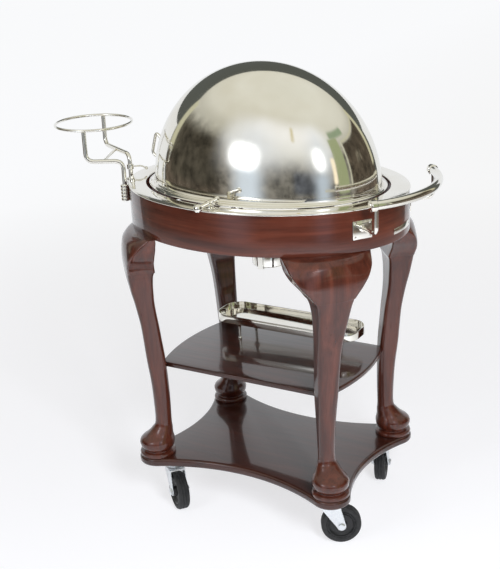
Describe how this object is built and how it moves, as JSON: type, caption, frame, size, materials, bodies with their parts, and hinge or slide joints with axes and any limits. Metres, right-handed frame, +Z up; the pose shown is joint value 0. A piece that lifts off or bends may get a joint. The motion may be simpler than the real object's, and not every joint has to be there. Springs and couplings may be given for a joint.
{
  "type": "carving trolley",
  "caption": "Oval wooden trolley on curved legs with castors, a silver-coloured dome that rolls under its top, a plate holder, a push handle, shelves and a bottle gallery.",
  "frame": {"origin": "on the floor, below the middle of the whole trolley with its plate holder and push handle", "axes": "+X towards the push handle, +Y towards the back, away from the front long side, +Z up"},
  "size_m": [1.0122, 0.6428, 1.167],
  "materials": {
    "mahogany": "dark red-brown mahogany, glossy polish",
    "silver_plate": "polished silver plate",
    "zinc_plate": "bright zinc-plated steel",
    "black_rubber": "black rubber",
    "black_iron": "satin black wheel centre",
    "board_wood": "pale oiled wood"
  },
  "bodies": {
    "stand": {"apron_hoop": "mahogany", "bottle_gallery": "silver_plate", "burner_hanger": "silver_plate", "castor_plate_back_left": "zinc_plate", "castor_plate_back_right": "zinc_plate", "castor_plate_front_left": "zinc_plate", "castor_plate_front_right": "zinc_plate", "end_plate": "silver_plate", "handle_bracket_back": "silver_plate", "handle_bracket_front": "silver_plate", "holder_socket_back": "silver_plate", "holder_socket_front": "silver_plate", "leg_back_left": "mahogany", "leg_back_right": "mahogany", "leg_front_left": "mahogany", "leg_front_right": "mahogany", "lower_board": "mahogany", "mid_shelf": "mahogany", "pan_frame": "silver_plate", "push_handle": "silver_plate", "rim_plate": "silver_plate", "trunnion_bearing_back": "silver_plate", "trunnion_bearing_front": "silver_plate", "trunnion_shaft_back": "silver_plate", "trunnion_shaft_front": "silver_plate"},
    "dome": {"dome_shell": "silver_plate", "dome_handle": "silver_plate"},
    "pan": {"water_pan": "silver_plate"},
    "cover": {"pan_cover": "silver_plate"},
    "board": {"carving_board": "board_wood"},
    "pot_front": {"gravy_pot_front": "silver_plate"},
    "pot_back": {"gravy_pot_back": "silver_plate"},
    "lid_front": {"gravy_lid_front": "silver_plate"},
    "lid_back": {"gravy_lid_back": "silver_plate"},
    "burner": {"burner_drum": "silver_plate", "burner_hinge": "silver_plate"},
    "burner_cap": {"burner_cap": "silver_plate"},
    "plate_holder": {"holder_tube_front": "silver_plate", "holder_tube_back": "silver_plate", "plate_ring": "silver_plate", "holder_crossbar": "silver_plate", "holder_catch": "silver_plate"},
    "castor_back_left": {"castor_fork_back_left": "zinc_plate", "castor_axle_back_left": "zinc_plate"},
    "wheel_back_left": {"castor_wheel_back_left": "black_iron", "castor_tyre_back_left": "black_rubber"},
    "castor_back_right": {"castor_fork_back_right": "zinc_plate", "castor_axle_back_right": "zinc_plate"},
    "wheel_back_right": {"castor_wheel_back_right": "black_iron", "castor_tyre_back_right": "black_rubber"},
    "castor_front_left": {"castor_fork_front_left": "zinc_plate", "castor_axle_front_left": "zinc_plate"},
    "wheel_front_left": {"castor_wheel_front_left": "black_iron", "castor_tyre_front_left": "black_rubber"},
    "castor_front_right": {"castor_fork_front_right": "zinc_plate", "castor_axle_front_right": "zinc_plate"},
    "wheel_front_right": {"castor_wheel_front_right": "black_iron", "castor_tyre_front_right": "black_rubber"}
  },
  "joints": [
    {"name": "dome_roll", "type": "hinge", "parent": "stand", "child": "dome", "pos_m": [0.0603, 0, 0.8855], "axis": [0, 1, 0], "range_deg": [0, 155]},
    {"name": "pan_lift", "type": "slide", "parent": "stand", "child": "pan", "axis": [0, 0, 1], "range_m": [0, 0.06]},
    {"name": "cover_lift", "type": "slide", "parent": "pan", "child": "cover", "axis": [0, 0, 1], "range_m": [0, 0.04]},
    {"name": "board_lift", "type": "slide", "parent": "cover", "child": "board", "axis": [0, 0, 1], "range_m": [0, 0.04]},
    {"name": "pot_front_lift", "type": "slide", "parent": "cover", "child": "pot_front", "axis": [0, 0, 1], "range_m": [0, 0.07]},
    {"name": "pot_back_lift", "type": "slide", "parent": "cover", "child": "pot_back", "axis": [0, 0, 1], "range_m": [0, 0.07]},
    {"name": "lid_front_lift", "type": "slide", "parent": "pot_front", "child": "lid_front", "axis": [0, 0, 1], "range_m": [0, 0.04]},
    {"name": "lid_back_lift", "type": "slide", "parent": "pot_back", "child": "lid_back", "axis": [0, 0, 1], "range_m": [0, 0.04]},
    {"name": "burner_lift", "type": "slide", "parent": "stand", "child": "burner", "axis": [0, 0, 1], "range_m": [0, 0.06]},
    {"name": "burner_cap_flip", "type": "hinge", "parent": "burner", "child": "burner_cap", "pos_m": [0.0918, 0, 0.7088], "axis": [0, 1, 0], "range_deg": [0, 110]},
    {"name": "plate_holder_lift", "type": "slide", "parent": "stand", "child": "plate_holder", "axis": [0, 0, 1], "range_m": [0, 0.05]},
    {"name": "swivel_back_left", "type": "hinge", "parent": "stand", "child": "castor_back_left", "pos_m": [-0.1677, 0.16, 0.12], "axis": [0, 0, 1], "continuous": true},
    {"name": "roll_back_left", "type": "hinge", "parent": "castor_back_left", "child": "wheel_back_left", "pos_m": [-0.19888, 0.178, 0.05037], "axis": [-0.5, -0.866, 0], "continuous": true},
    {"name": "swivel_back_right", "type": "hinge", "parent": "stand", "child": "castor_back_right", "pos_m": [0.2883, 0.16, 0.12], "axis": [0, 0, 1], "continuous": true},
    {"name": "roll_back_right", "type": "hinge", "parent": "castor_back_right", "child": "wheel_back_right", "pos_m": [0.27718, 0.19424, 0.05037], "axis": [-0.9511, -0.309, 0], "continuous": true},
    {"name": "swivel_front_left", "type": "hinge", "parent": "stand", "child": "castor_front_left", "pos_m": [-0.1677, -0.16, 0.12], "axis": [0, 0, 1], "continuous": true},
    {"name": "roll_front_left", "type": "hinge", "parent": "castor_front_left", "child": "wheel_front_left", "pos_m": [-0.13933, -0.18216, 0.05037], "axis": [0.6157, 0.788, 0], "continuous": true},
    {"name": "swivel_front_right", "type": "hinge", "parent": "stand", "child": "castor_front_right", "pos_m": [0.2883, -0.16, 0.12], "axis": [0, 0, 1], "continuous": true},
    {"name": "roll_front_right", "type": "hinge", "parent": "castor_front_right", "child": "wheel_front_right", "pos_m": [0.31916, -0.14146, 0.05037], "axis": [-0.515, 0.8572, 0], "continuous": true}
  ]
}
